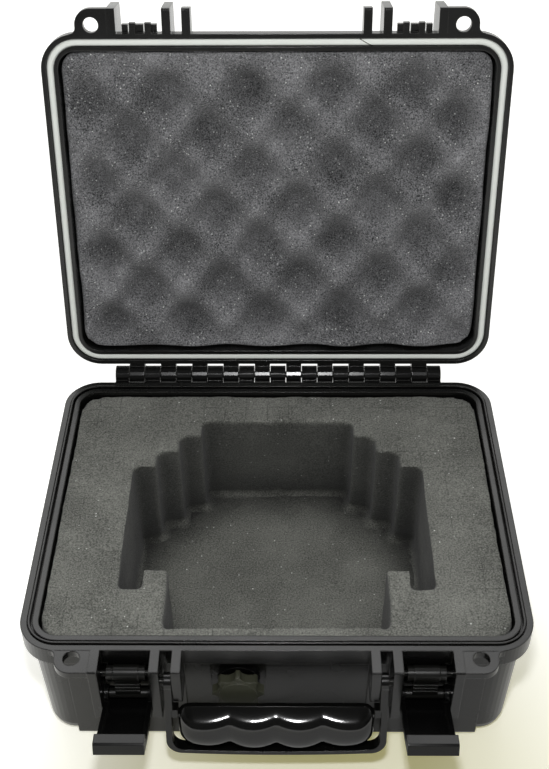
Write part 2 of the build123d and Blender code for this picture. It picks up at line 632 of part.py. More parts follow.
def grip_outline():
    """The grip's front view, with its finger lobes."""
    half = GRIP_HALF_WIDTH
    cusps = [(index - GRIP_LOBES / 2) * GRIP_LOBE_PITCH for index in range(1, GRIP_LOBES)]
    cusps = [-half] + cusps + [half]
    places = [(x, grip_foot(x) + GRIP_LOBE_DEPTH) for x in cusps]
    edges = [Polyline(places[-1], (half, -BRIDGE_START), (-half, -BRIDGE_START), places[0])]
    for left, right in zip(places, places[1:]):
        middle_x = (left[0] + right[0]) / 2
        edges.append(ThreePointArc(left, (middle_x, grip_foot(middle_x)), right))
    face = make_face(edges)
    corners = face.vertices().group_by(Axis.X)
    lower = [group.sort_by(Axis.Y)[0] for group in (corners[0], corners[-1])]
    return fillet(lower, GRIP_CORNER)


def make_handle_frame():
    """The stiff frame: two arms on the pivots, a thin bottom band, bridges and the grip's core."""
    outer_x = ARM_X + HANDLE_ARM / 2
    inner_x = ARM_X - HANDLE_ARM / 2
    frame = handle_outline(outer_x, 0, HANDLE_LENGTH, HANDLE_BOW, HANDLE_CORNER)
    frame -= handle_box(-inner_x, inner_x, -HANDLE_BOSS_RADIUS, BRIDGE_START)
    frame -= handle_outline(
        HANDLE_SLOT_X, BRIDGE_START, HANDLE_LENGTH - HANDLE_BAND, HANDLE_BOW, HANDLE_CORNER - HANDLE_BAND)
    frame = handle_solid(frame, HANDLE_THICKNESS)
    for side in (-1, 1):
        frame += rod(side * ARM_X, HANDLE_Y, HANDLE_Z, HANDLE_BOSS_RADIUS, HANDLE_ARM)
    bridge_end_x = HANDLE_SLOT_X + 1
    bridge = handle_box(-bridge_end_x, bridge_end_x, BRIDGE_START, BRIDGE_START + BRIDGE_HEIGHT)
    bridge -= handle_box(-GRIP_HALF_WIDTH, GRIP_HALF_WIDTH, 0, FAR / 4)
    frame += handle_solid(bridge, HANDLE_THICKNESS - BRIDGE_THINNER)
    frame += grip_core()
    return frame - rod(0, HANDLE_Y, HANDLE_Z, HANDLE_PIN_RADIUS + PIN_PLAY, FAR / 2)


def grip_core():
    """The plate inside the grip that ties the two bridges together."""
    low = BRIDGE_START + GRIP_CORE_INSET
    high = GRIP_BOTTOM - GRIP_BOW - GRIP_LOBE_DEPTH - GRIP_CORE_INSET
    bridge_end = BRIDGE_START + BRIDGE_HEIGHT
    tie = handle_box(-GRIP_HALF_WIDTH - 1, GRIP_HALF_WIDTH + 1, low, bridge_end)
    plate = handle_box(-GRIP_HALF_WIDTH + GRIP_CORE_INSET, GRIP_HALF_WIDTH - GRIP_CORE_INSET, low, high)
    return handle_solid(tie + plate, GRIP_CORE_THICKNESS)


def make_handle_grip():
    """The soft grip moulded around the core, lobed below for the fingers."""
    grip = handle_solid(grip_outline(), GRIP_THICKNESS)
    grip = fillet(grip.edges().filter_by(Axis.X), GRIP_ROUND)
    return grip - grip_core()


def make_handle_pin():
    """The right pivot pin, seated in the two ribs beside the handle's arm."""
    return rod(HANDLE_PIN_X, HANDLE_Y, HANDLE_Z, HANDLE_PIN_RADIUS, HANDLE_PIN_LENGTH)


def valve_wall():
    """The wall's outer and inner Y where the valve goes through, at the valve's upper edge."""
    outer = FRONT + WALL_STEP + VALVE_RECESS_DEPTH
    share = (RIM_Z - VALVE_Z) / (RIM_Z - FLOOR_THICKNESS)
    inner = FRONT + RIM_WIDTH + WALL_DRAFT * share
    return outer, inner


def make_valve_body():
    """The bush through the wall, with its outer flange and its bore for the knob's stem."""
    outer, inner = valve_wall()
    flange_front = outer - VALVE_FLANGE_THICKNESS
    nut_back = inner + NUT_THICKNESS
    body = valve_axis_cylinder(VALVE_FLANGE_RADIUS, flange_front, outer)
    body += valve_axis_cylinder(VALVE_BODY_RADIUS - PIN_PLAY, outer, nut_back + VALVE_BODY_PROUD)
    return body - valve_axis_cylinder(VALVE_STEM_RADIUS + PIN_PLAY, flange_front, nut_back)


def make_valve_nut():
    """The six-sided nut that holds the bush from inside."""
    start = valve_wall()[1] + NUT_GAP
    hexagon = extrude(RegularPolygon(NUT_WIDTH / 2, 6), NUT_THICKNESS)
    nut = Pos(VALVE_X, start, VALVE_Z) * Rot(-90, 0, 0) * hexagon
    return nut - valve_axis_cylinder(VALVE_BODY_RADIUS - PIN_PLAY, start, start + NUT_THICKNESS)


def make_valve_knob():
    """The scalloped knob with its raised face, on a stem that turns in the bush."""
    outer, inner = valve_wall()
    front = FRONT - VALVE_FRONT_REACH
    back = front + KNOB_THICKNESS
    knob = valve_axis_cylinder(KNOB_RADIUS, front, back)
    for index in range(KNOB_LOBES):
        angle = 2 * math.pi * (index + 0.5) / KNOB_LOBES
        x = VALVE_X + KNOB_SCALLOP_CENTRE * math.cos(angle)
        z = VALVE_Z + KNOB_SCALLOP_CENTRE * math.sin(angle)
        knob -= Pos(x, (front + back) / 2, z) * Rot(90, 0, 0) * Cylinder(KNOB_SCALLOP_RADIUS, FAR / 8)
    knob += valve_axis_cylinder(KNOB_FACE_RADIUS, front - KNOB_FACE_RISE, front)
    knob += valve_axis_cylinder(VALVE_STEM_RADIUS, back, inner)
    neck_end = outer - VALVE_FLANGE_THICKNESS - SOFT_GAP - SEAL_RING_THICKNESS
    return knob + valve_axis_cylinder(VALVE_BODY_RADIUS, back, neck_end)


def make_valve_seal():
    """The ring that the knob presses on the bush's flange."""
    back = valve_wall()[0] - VALVE_FLANGE_THICKNESS - SOFT_GAP
    front = back - SEAL_RING_THICKNESS
    inner_radius = VALVE_STEM_RADIUS + SEAL_RING_PLAY
    ring_solid = valve_axis_cylinder(inner_radius + SEAL_RING_WIDTH, front, back)
    return ring_solid - valve_axis_cylinder(inner_radius, front, back)


def save(shape, name):
    """One sub-part, one file."""
    export_step(shape, f"parts/{name}.step")
    return shape


def save_pair(shape, name):
    """The right-hand piece and its mirror image on the left."""
    save(shape, f"{name}_right")
    save(mirrored(shape), f"{name}_left")


os.makedirs("parts", exist_ok=True)
save(make_base_shell(), "base_shell")
save(make_base_foam(), "base_foam")
save(make_base_foam_pad(), "base_foam_pad")
save(opened(make_lid_shell()), "lid_shell")
save(opened(make_lid_gasket()), "lid_gasket")
save(opened(make_lid_foam()), "lid_foam")
save(make_hinge_pin(), "hinge_pin")
save(make_handle_frame(), "handle_frame")
save(make_handle_grip(), "handle_grip")
save_pair(make_ear(RIM_Z - EAR_THICKNESS, RIM_Z), "base_ear")
save_pair(opened(make_ear(LID_BOTTOM, LID_BOTTOM + EAR_THICKNESS)), "lid_ear")
save_pair(make_handle_pin(), "handle_pin")
save_pair(make_latch_link(), "latch_link")
save_pair(make_latch_lever(), "latch_lever")
save_pair(make_latch_base_pin(), "latch_base_pin")
save_pair(make_latch_lever_pin(), "latch_lever_pin")
save(make_valve_body(), "valve_body")
save(make_valve_nut(), "valve_nut")
save(make_valve_knob(), "valve_knob")
save(make_valve_seal(), "valve_seal")
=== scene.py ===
# %% [markdown]
# # A hard carrying case, standing open
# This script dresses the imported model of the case. The model is a fixed frame: its rigid
# pieces stay where they are and get a finish, and its foam, seal and grip are replaced by
# pieces modelled here. Everything is in metres, +Z is up and the front faces -Y.

# %% Load the frame
import bpy
import bmesh
import json
import math
from mathutils import Matrix, Vector


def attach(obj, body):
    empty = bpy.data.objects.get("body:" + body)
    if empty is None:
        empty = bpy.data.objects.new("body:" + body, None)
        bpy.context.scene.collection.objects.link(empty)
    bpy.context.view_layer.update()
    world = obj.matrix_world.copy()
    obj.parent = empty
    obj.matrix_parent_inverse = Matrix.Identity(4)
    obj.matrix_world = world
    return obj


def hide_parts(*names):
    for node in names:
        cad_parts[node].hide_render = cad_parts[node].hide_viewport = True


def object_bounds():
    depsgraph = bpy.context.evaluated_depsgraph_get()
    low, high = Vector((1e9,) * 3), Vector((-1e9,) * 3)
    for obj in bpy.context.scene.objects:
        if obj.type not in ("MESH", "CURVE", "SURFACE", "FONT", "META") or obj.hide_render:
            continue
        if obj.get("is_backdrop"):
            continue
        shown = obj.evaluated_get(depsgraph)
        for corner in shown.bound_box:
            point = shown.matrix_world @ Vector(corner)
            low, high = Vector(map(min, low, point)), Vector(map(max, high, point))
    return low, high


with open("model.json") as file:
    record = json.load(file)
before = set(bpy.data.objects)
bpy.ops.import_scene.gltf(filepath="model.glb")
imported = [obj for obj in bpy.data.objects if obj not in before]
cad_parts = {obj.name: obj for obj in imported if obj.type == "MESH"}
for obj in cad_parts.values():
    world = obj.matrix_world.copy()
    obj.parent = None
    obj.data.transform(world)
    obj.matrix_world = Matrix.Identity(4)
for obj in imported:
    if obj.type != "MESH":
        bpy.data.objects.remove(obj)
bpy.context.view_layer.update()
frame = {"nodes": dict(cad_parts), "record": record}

MM = 0.001

# %% [markdown]
# ## The camera
# The photograph looks down on the case from the front, a little to the right of its middle.
# Its place and lens were worked out from the rim, the ear holes and the hinge.

# %% The camera
CAMERA_PLACE = Vector((4.4, -459.6, 565.8)) * MM
CAMERA_TURN = [math.radians(angle) for angle in (49.07, 0.33, 0.385)]
CAMERA_LENS = 55.7

camera = bpy.data.objects.new("camera", bpy.data.cameras.new("camera"))
bpy.context.scene.collection.objects.link(camera)
camera.location = CAMERA_PLACE
camera.rotation_euler = CAMERA_TURN
camera.data.lens = CAMERA_LENS
camera.data.clip_end = 20
bpy.context.scene.camera = camera
bpy.context.scene.view_settings.view_transform = "Standard"
print("camera", round(camera.location.length, 3), "m from the origin")

# %% [markdown]
# ## Sizes shared by the pieces
# The case is measured in millimetres here, as its maker would. The lid is drawn closed and
# then turned open about the hinge, so that both halves share one plan.

# %% Shared sizes
HALF_WIDTH = 130.0
HALF_DEPTH = 101.5
LID_Z = 81.2
HINGE_PLACE = Vector((0, 109, 81)) * MM
OPEN_ANGLE = 101.65
OPEN_LID = (Matrix.Translation(HINGE_PLACE)
            @ Matrix.Rotation(math.radians(-OPEN_ANGLE), 4, "X")
            @ Matrix.Translation(-HINGE_PLACE))
print("rim", 2 * HALF_WIDTH, "x", 2 * HALF_DEPTH, "mm, lid open by", OPEN_ANGLE, "degrees")

# %% [markdown]
# ## Helpers for modelling
# Every piece starts as a primitive at its size and place, and is shaped in edit mode. What
# an operator acts on is chosen by a rule on place or direction, so these helpers clear the
# selection, pick by a rule, and leave a finished piece at the origin.

# %% Helpers for modelling
def start_block(name, low, high):
    """A box between two corners in millimetres, left in edit mode."""
    bpy.ops.object.select_all(action="DESELECT")
    centre = [(a + b) / 2 * MM for a, b in zip(low, high)]
    bpy.ops.mesh.primitive_cube_add(size=1, location=centre)
    piece = bpy.context.object
    piece.name = name
    piece.scale = [(b - a) * MM for a, b in zip(low, high)]
    bpy.ops.object.transform_apply(location=True, rotation=True, scale=True)
    bpy.ops.object.mode_set(mode="EDIT")
    return piece


def pick(piece, kind, rule):
    """In edit mode, selects only the vertices, edges or faces that the rule holds for."""
    bpy.ops.mesh.select_mode(type=kind)
    bpy.ops.mesh.select_all(action="DESELECT")
    mesh = bmesh.from_edit_mesh(piece.data)
    parts = {"VERT": mesh.verts, "EDGE": mesh.edges, "FACE": mesh.faces}[kind]
    for part in parts:
        part.select_set(bool(rule(part)))
    mesh.select_flush_mode()
    bmesh.update_edit_mesh(piece.data)


def upright(edge):
    """True for an edge that stands along Z."""
    along = edge.verts[1].co - edge.verts[0].co
    return abs(along.z) > 0.9 * along.length


def leave(piece):
    """Back to object mode."""
    bpy.ops.object.mode_set(mode="OBJECT")
    return piece


def finish_with(piece, kind, **settings):
    """Adds a modifier, sets it and applies it."""
    modifier = piece.modifiers.new(kind.lower(), kind)
    for key, value in settings.items():
        setattr(modifier, key, value)
    bpy.ops.object.select_all(action="DESELECT")
    bpy.context.view_layer.objects.active = piece
    piece.select_set(True)
    bpy.ops.object.modifier_apply(modifier=modifier.name)
    return piece


def smooth(piece, angle=40):
    """Shades a piece smooth, apart from edges sharper than the angle."""
    bpy.ops.object.select_all(action="DESELECT")
    bpy.context.view_layer.objects.active = piece
    piece.select_set(True)
    bpy.ops.object.shade_smooth_by_angle(angle=math.radians(angle))
    return piece


def soft_noise(name, size):
    """A smooth random pattern for the Displace modifier, its lumps of a size in millimetres."""
    texture = bpy.data.textures.new(name, "CLOUDS")
    texture.noise_scale = size * MM
    texture.noise_depth = 1
    return texture


# %% [markdown]
# ## The pluck foam
# On the real case this is a block of open-cell foam, cut from above into a grid of half-inch
# square pillars. Whoever owns the case pulls out pillars to make the pocket, and the torn
# sides stay a little uneven. It could be sculpted, but the grid is what gives it its look,
# so the block's top is cut along the grid and the pocket's squares are pushed down. A fine
# remesh then rounds every edge a little, as foam does, and two noises roughen it.

# %% The pluck foam's plan
CELL = 12.83
COLUMNS = 13
FOAM_LEFT = -COLUMNS * CELL / 2
FOAM_FRONT = 16.2 - HALF_DEPTH
FOAM_INSET = 10.2
FOAM_LOW = 15.2
FOAM_TOP = 78.0
FOAM_CORNER = 10.8
POCKET = [[(2, 10)], [(2, 10)], [(0, 0), (2, 10), (12, 12)]] + [[(0, 12)]] * 6
POCKET += [[(step, 12 - step)] for step in (1, 2, 3)]


def in_pocket(x, y):
    """True if a place of the plan, in millimetres, lies in the pocket."""
    column = math.floor((x - FOAM_LEFT) / CELL)
    row = math.floor((y - FOAM_FRONT) / CELL)
    return 0 <= row < len(POCKET) and any(first <= column <= last for first, last in POCKET[row])


print("pocket squares", sum(last - first + 1 for row in POCKET for first, last in row))

# %% Cut and push down the pocket
half_x, half_y = HALF_WIDTH - FOAM_INSET, HALF_DEPTH - FOAM_INSET
foam = start_block("pluck_foam", (-half_x, -half_y, FOAM_LOW), (half_x, half_y, FOAM_TOP))
pick(foam, "EDGE", upright)
bpy.ops.mesh.bevel(offset=FOAM_CORNER * MM, segments=6)
cuts = [((FOAM_LEFT + index * CELL) * MM, 0) for index in range(COLUMNS + 1)]
cuts += [((FOAM_FRONT + index * CELL) * MM, 1) for index in range(len(POCKET) + 1)]
for place, axis in cuts:
    pick(foam, "FACE", lambda face: face.normal.z > 0.9)
    point = [0, 0, 0]
    normal = [0, 0, 0]
    point[axis] = place
    normal[axis] = 1
    bpy.ops.mesh.bisect(plane_co=point, plane_no=normal)
pick(foam, "FACE", lambda face: face.normal.z > 0.9 and in_pocket(
    face.calc_center_median().x / MM, face.calc_center_median().y / MM))
bpy.ops.mesh.extrude_region_move(
    TRANSFORM_OT_translate={"value": (0, 0, (FOAM_LOW - FOAM_TOP + 1.0) * MM)})
leave(foam)
print("foam", len(foam.data.polygons), "faces")

# %% Lean the two peninsulas and soften the cuts
def lean_peninsulas(piece):
    """Bends the two fingers of foam beside the front pocket, which use has pressed inwards."""
    for vertex in piece.data.vertices:
        x, y = vertex.co.x / MM, vertex.co.y / MM
        away = (abs(x) - 45) / 20
        along = (y - FOAM_FRONT) / (3 * CELL)
        if 0 < away < 1 and -0.1 < along < 1.1:
            bulge = math.sin(math.pi * min(max(along, 0), 1)) * (1 - away)
            vertex.co.x += (2.4 if x < 0 else 1.6) * bulge * MM
    return piece


finish_with(foam, "REMESH", mode="VOXEL", voxel_size=1.9 * MM)
finish_with(foam, "SMOOTH", factor=0.5, iterations=2)
lean_peninsulas(foam)
finish_with(foam, "DISPLACE", texture=soft_noise("foam sag", 30), strength=1.2 * MM,
            texture_coords="GLOBAL")
finish_with(foam, "DISPLACE", texture=soft_noise("foam tear", 5), strength=0.7 * MM,
            texture_coords="GLOBAL")
smooth(foam, 60)
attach(foam, "base")
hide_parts("base_foam")
print("foam", len(foam.data.polygons), "faces")

# %% [markdown]
# ## The foam sheet under it
# A plain sheet of the same foam lies on the case's floor, and shows at the bottom of the
# pocket. It is a slab with rounded corners and a slightly uneven top.

# %% The foam sheet
SHEET_LOW = 3.4
SHEET_TOP = 15.0
pad_x, pad_y = half_x - 2.5, half_y - 2.5
pad = start_block("foam_sheet", (-pad_x, -pad_y, SHEET_LOW), (pad_x, pad_y, SHEET_TOP))
pick(pad, "EDGE", upright)
bpy.ops.mesh.bevel(offset=8.5 * MM, segments=5)
pick(pad, "FACE", lambda face: face.normal.z < -0.9)
bpy.ops.mesh.bevel(offset=3.2 * MM, segments=4)
leave(pad)
finish_with(pad, "REMESH", mode="VOXEL", voxel_size=2.8 * MM)
finish_with(pad, "DISPLACE", texture=soft_noise("sheet sag", 24), strength=0.4 * MM,
            texture_coords="GLOBAL")
smooth(pad, 60)
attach(pad, "base")
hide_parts("base_foam_pad")
print("sheet", len(pad.data.polygons), "faces")

# %% [markdown]
# ## The egg-crate foam in the lid
# Convoluted foam is cut by squeezing a block between toothed rollers, which leaves rows of
# soft bumps with hollows between them. Two crossed waves give that shape. The block is
# remeshed to even small squares, and each point of its lower face is then raised by the
# waves, because no brush or operator makes so regular a pattern as exactly. The waves fade
# towards the sides, where the foam was trimmed to fit the lid.

# %% The egg-crate foam
LID_FOAM_TOP = 113.8
LID_FOAM_CREST = 82.8
BUMP = 15.0
FADE_WIDTH = 18
EDGE_BUMP = 0.3
PITCH = 33.4
CREST_PLACE = (13.0, 23.0)
ROW_ANGLES = (41.5, -48.5)


def wave(x, y):
    """How far the foam is hollowed at a place of the closed lid's plan, from 0 to 1."""
    total = 0
    for angle in ROW_ANGLES:
        turn = math.radians(angle)
        across = (x - CREST_PLACE[0]) * math.cos(turn) + (y - CREST_PLACE[1]) * math.sin(turn)
        total += 0.5 - 0.5 * math.cos(2 * math.pi * across / PITCH)
    return total / 2


egg = start_block("egg_crate_foam", (-half_x, -half_y, LID_FOAM_CREST),
                  (half_x, half_y, LID_FOAM_TOP))
pick(egg, "EDGE", upright)
bpy.ops.mesh.bevel(offset=FOAM_CORNER * MM, segments=6)
pick(egg, "FACE", lambda face: face.normal.z > 0.9)
bpy.ops.mesh.bevel(offset=3.2 * MM, segments=4)
leave(egg)
finish_with(egg, "REMESH", mode="VOXEL", voxel_size=2.0 * MM)
depth = LID_FOAM_TOP - LID_FOAM_CREST
for vertex in egg.data.vertices:
    x, y, z = vertex.co / MM
    share = min(1, max(0, (LID_FOAM_TOP - z) / depth))
    from_edge = min(half_x - abs(x), half_y - abs(y))
    fade = EDGE_BUMP + (1 - EDGE_BUMP) * min(1, max(0, from_edge / FADE_WIDTH))
    vertex.co.z += BUMP * fade * wave(x, y) * share ** 2 * MM
finish_with(egg, "SMOOTH", factor=0.5, iterations=2)
finish_with(egg, "DISPLACE", texture=soft_noise("crate unevenness", 22), strength=1.0 * MM,
            texture_coords="GLOBAL")
egg.data.transform(OPEN_LID)
smooth(egg, 60)
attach(egg, "lid")
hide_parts("lid_foam")
print("egg crate", len(egg.data.polygons), "faces")

# %% [markdown]
# ## The seal in the lid
# The seal is a strip of pale foamed rubber pressed into a groove around the lid's rim. Its
# two ends meet in a slanting cut at the front. It could be swept along a curve, but a plate
# with rounded corners is simpler: it is inset above and below, its middle is taken out, and
# the two open edges are bridged. The edges on the free side are then rounded.

# %% The seal
GASKET_INSET = 2.6
GASKET_WIDTH = 4.3
SEAL_FACE = LID_Z + 0.9
SEAL_TOP = LID_Z + 4.8
SEAL_CORNER = 17.3
SEAL_GAP = 0.1
gasket_x, gasket_y = HALF_WIDTH - GASKET_INSET - SEAL_GAP, HALF_DEPTH - GASKET_INSET - SEAL_GAP
gasket = start_block("seal_strip", (-gasket_x, -gasket_y, SEAL_FACE),
                     (gasket_x, gasket_y, SEAL_TOP))
pick(gasket, "EDGE", upright)
bpy.ops.mesh.bevel(offset=SEAL_CORNER * MM, segments=10)
pick(gasket, "FACE", lambda face: abs(face.normal.z) > 0.9)
bpy.ops.mesh.inset(thickness=(GASKET_WIDTH - 2 * SEAL_GAP) * MM)
bpy.ops.mesh.delete(type="FACE")
leave(gasket)
print("seal ring", len(gasket.data.polygons), "faces")

# %% Round the seal's edges and set it in the lid
def ring_inside(edge):
    """True for an edge that runs round the ring and not across it."""
    a, b = edge.verts
    return abs(a.co.z - b.co.z) < 1e-6


bpy.context.view_layer.objects.active = gasket
gasket.select_set(True)
bpy.ops.object.mode_set(mode="EDIT")
pick(gasket, "EDGE", lambda edge: edge.is_boundary)
bpy.ops.mesh.bridge_edge_loops()
pick(gasket, "EDGE", lambda edge: abs(edge.calc_face_angle(0) - math.pi / 2) < 0.1
     and edge.verts[0].co.z < (SEAL_FACE + 1) * MM and ring_inside(edge))
bpy.ops.mesh.bevel(offset=1.5 * MM, segments=4)
bpy.ops.mesh.select_all(action="SELECT")
bpy.ops.mesh.normals_make_consistent(inside=False)
leave(gasket)
gasket.data.transform(OPEN_LID)
smooth(gasket, 35)
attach(gasket, "lid")
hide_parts("lid_gasket")
print("seal", len(gasket.data.polygons), "faces")

# %% [markdown]
# ## The handle's grip
# The real grip is rubber moulded over the handle's core, with four lobes below for the
# fingers. It could be carved with a brush, but its lobes are even, so it starts as a
# many-sided bar along X, cut into thin rings. Each ring is then stretched to the height that
# the lobes have there, and the rings near the ends draw in.

# %% The grip's sizes
PIVOT = Vector((0, -110.4, 68.2)) * MM
REST_ANGLE = math.radians(14)
DOWN = Vector((0, -math.sin(REST_ANGLE), -math.cos(REST_ANGLE)))
OUTWARD = Vector((0, -math.cos(REST_ANGLE), math.sin(REST_ANGLE)))
GRIP_HALF = 49.3
GRIP_TOP = 16.2
GRIP_BOTTOM = 41.2
GRIP_BOW = 3.4
LOBE_PITCH = 23.5
LOBE_DEPTH = 2.6
GRIP_THICKNESS = 14.0
CORE_TOP = 18.6
SMOOTHING = 2.0


def lobe_foot(x):
    """How far below the pivot the grip reaches at a place along it, in millimetres."""
    place = abs(x) / LOBE_PITCH
    width = 1.0 if place < 1 else (GRIP_HALF / LOBE_PITCH - 1)
    share = place % 1 if place < 1 else (place - 1) / width
    lobe = 1 - (2 * share - 1) ** 2
    return GRIP_BOTTOM - GRIP_BOW * (x / GRIP_HALF) ** 2 - LOBE_DEPTH * (1 - lobe)


def drawn_in(x, radius):
    """How much a rounded end of a radius draws in at a place along the grip, in millimetres."""
    short = max(0, radius - GRIP_HALF + abs(x))
    return radius - math.sqrt(radius ** 2 - short ** 2)


print("grip", 2 * GRIP_HALF, "mm long, lobes every", LOBE_PITCH, "mm")

# %% A bar of thin rings
bpy.ops.object.select_all(action="DESELECT")
bpy.ops.mesh.primitive_cylinder_add(
    vertices=96, radius=1, depth=2 * GRIP_HALF, end_fill_type="NGON", rotation=(0, math.pi / 2, 0))
grip = bpy.context.object
grip.name = "lobed_grip"
bpy.ops.object.transform_apply(location=True, rotation=True, scale=True)
bpy.ops.object.mode_set(mode="EDIT")
pick(grip, "EDGE", lambda edge: abs(edge.verts[0].co.x - edge.verts[1].co.x) > 1)
bpy.ops.mesh.subdivide(number_cuts=119)
leave(grip)
print("bar", len(grip.data.vertices), "points")

# %% Stretch each ring to the grip's section
# The section is a rounded oblong that stands out at the front of each lobe. Its front slopes
# back at the top, where a smooth minimum joins the slope to the bulge.
for vertex in grip.data.vertices:
    x = vertex.co.x
    turn = math.atan2(vertex.co.z, vertex.co.y)
    across, up = math.cos(turn), math.sin(turn)
    foot = lobe_foot(x)
    valley = (GRIP_BOTTOM - GRIP_BOW * (x / GRIP_HALF) ** 2 - foot) / LOBE_DEPTH
    half_high = (foot - GRIP_TOP) / 2 - drawn_in(x, 4.2)
    bulge = 1.8 - 2.2 * valley if across > 0 else 0
    half_thick = GRIP_THICKNESS / 2 + bulge - 0.6 * drawn_in(x, 8.5)
    power = 0.8 if across < 0 or up > 0 else 0.95
    out = math.copysign(abs(across) ** power, across) * half_thick
    down = (foot + GRIP_TOP) / 2 - math.copysign(abs(up) ** power, up) * half_high
    slope = 3.9 + 1.4 * (down - CORE_TOP) - 0.2 * drawn_in(x, 8.5)
    out = (out + slope - math.sqrt((out - slope) ** 2 + SMOOTHING ** 2)) / 2
    vertex.co = PIVOT + Vector((x, 0, 0)) * MM + DOWN * down * MM + OUTWARD * out * MM
bpy.context.view_layer.objects.active = grip
bpy.ops.object.mode_set(mode="EDIT")
bpy.ops.mesh.select_all(action="SELECT")
bpy.ops.mesh.normals_make_consistent(inside=False)
leave(grip)
smooth(grip, 50)
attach(grip, "handle")
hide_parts("handle_grip")
print("grip", len(grip.data.polygons), "faces")

# %% [markdown]
# ## Helpers for materials
# Colours are written as sRGB hex, which is how a colour picker shows them, and turned to
# the linear values that the shader works in. One function adds any node with its links.

# %% Helpers for materials
def linear(hex_colour):
    """A colour written in sRGB hex, as the linear RGBA that Blender's sockets take."""
    parts = [int(hex_colour[i:i + 2], 16) / 255 for i in (1, 3, 5)]
    return [p / 12.92 if p <= 0.04045 else ((p + 0.055) / 1.055) ** 2.4 for p in parts] + [1]


def new_material(name):
    """An empty node material with its Principled shader, returned with its node tree."""
    material = bpy.data.materials.new(name)
    material.use_nodes = True
    return material, material.node_tree, material.node_tree.nodes["Principled BSDF"]


def add_node(tree, kind, settings=None, **inputs):
    """Adds a node. Settings are its properties, and inputs are values or outputs to link.

    An input is given by its name, or as n and its number where names repeat.
    """
    node = tree.nodes.new(kind)
    for key, value in (settings or {}).items():
        setattr(node, key, value)
    for key, value in inputs.items():
        numbered = key[0] == "n" and key[1:].isdigit()
        socket = node.inputs[int(key[1:]) if numbered else key.replace("_", " ")]
        if isinstance(value, bpy.types.NodeSocket):
            tree.links.new(value, socket)
        else:
            socket.default_value = value
    return node


# Settings that many nodes share.
TIMES = {"operation": "MULTIPLY"}
LARGER = {"operation": "MAXIMUM"}
COLOUR = {"data_type": "RGBA"}
EASED = {"interpolation_type": "SMOOTHSTEP"}
print("white is", [round(part, 2) for part in linear("#ffffff")])

# %% [markdown]
# ## The mouldings in one piece
# The CAD model keeps the padlock ears as nodes of their own, but each shell and its two ears
# are really one moulding. The softened edges below are worked out within one mesh, so a line
# would show where two meshes meet. A Boolean union would leave long ragged faces that shade
# badly. Copies of the three are merged and joined instead, and left flat shaded, because the
# Bevel node of the plastic softens their edges.

# %% Join the shells and their ears
def one_moulding(name, body, *nodes):
    """Copies of CAD nodes joined in one mesh, which rides on a body and replaces them."""
    copies = []
    for node in nodes:
        part = frame["nodes"][node].copy()
        part.data = part.data.copy()
        bpy.context.scene.collection.objects.link(part)
        bpy.ops.object.select_all(action="DESELECT")
        bpy.context.view_layer.objects.active = part
        part.select_set(True)
        bpy.ops.mesh.customdata_custom_splitnormals_clear()
        bpy.ops.object.mode_set(mode="EDIT")
        bpy.ops.mesh.select_all(action="SELECT")
        bpy.ops.mesh.remove_doubles(threshold=1e-6)
        leave(part)
        bpy.ops.object.shade_flat()
        copies.append(part)
    for part in copies:
        part.select_set(True)
    whole = copies[0]
    bpy.context.view_layer.objects.active = whole
    bpy.ops.object.join()
    whole.name = name
    whole.data.materials.clear()
    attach(whole, body)
    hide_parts(*nodes)
    print(name, len(whole.data.polygons), "faces")
    return whole


base_moulding = one_moulding("base_moulding", "base", "base_shell", "base_ear_right",
                             "base_ear_left")
lid_moulding = one_moulding("lid_moulding", "lid", "lid_shell", "lid_ear_right", "lid_ear_left")

# %% [markdown]
# ## Floor, backdrop and light
# The case stands on a white surface that runs up behind it, so one sheet is both, swept up
# behind in a curve. Its white is its own colour, and the lamps stay at a level at which the
# black plastic and the foam keep their true tones.

# %% What a ray sees
ROOM_LEVEL = 0.36
CEILING = 0.1
BOX_WATTS = 8
LAMP_WATTS = 2


def seen_or_mirrored(tree):
    """1 for a ray from the camera, a mirror or a clear piece, and 0 for light on things."""
    path = add_node(tree, "ShaderNodeLightPath")
    first = add_node(tree, "ShaderNodeMath", LARGER, n0=path.outputs["Is Camera Ray"],
                     n1=path.outputs["Is Glossy Ray"])
    both = add_node(tree, "ShaderNodeMath", LARGER, n0=first.outputs["Value"],
                    n1=path.outputs["Is Transmission Ray"])
    return both.outputs["Value"]


print("room level", ROOM_LEVEL, "and dark ceiling", CEILING)

# %% The floor and the backdrop
bpy.ops.object.select_all(action="DESELECT")
bpy.ops.mesh.primitive_plane_add(size=6, location=(0, -0.5, 0))
sweep = bpy.context.object
sweep.name = "backdrop"
bpy.ops.object.transform_apply(location=True, rotation=True, scale=True)
bpy.ops.object.mode_set(mode="EDIT")
pick(sweep, "EDGE", lambda edge: min(v.co.y for v in edge.verts) > 2)
bpy.ops.mesh.extrude_region_move(TRANSFORM_OT_translate={"value": (0, 0, 4)})
pick(sweep, "EDGE",
     lambda edge: min(v.co.y for v in edge.verts) > 2 and max(v.co.z for v in edge.verts) < 1)
bpy.ops.mesh.bevel(offset=1.2, segments=16)
leave(sweep)
smooth(sweep, 60)
sweep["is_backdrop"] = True
print("backdrop", len(sweep.data.polygons), "faces")

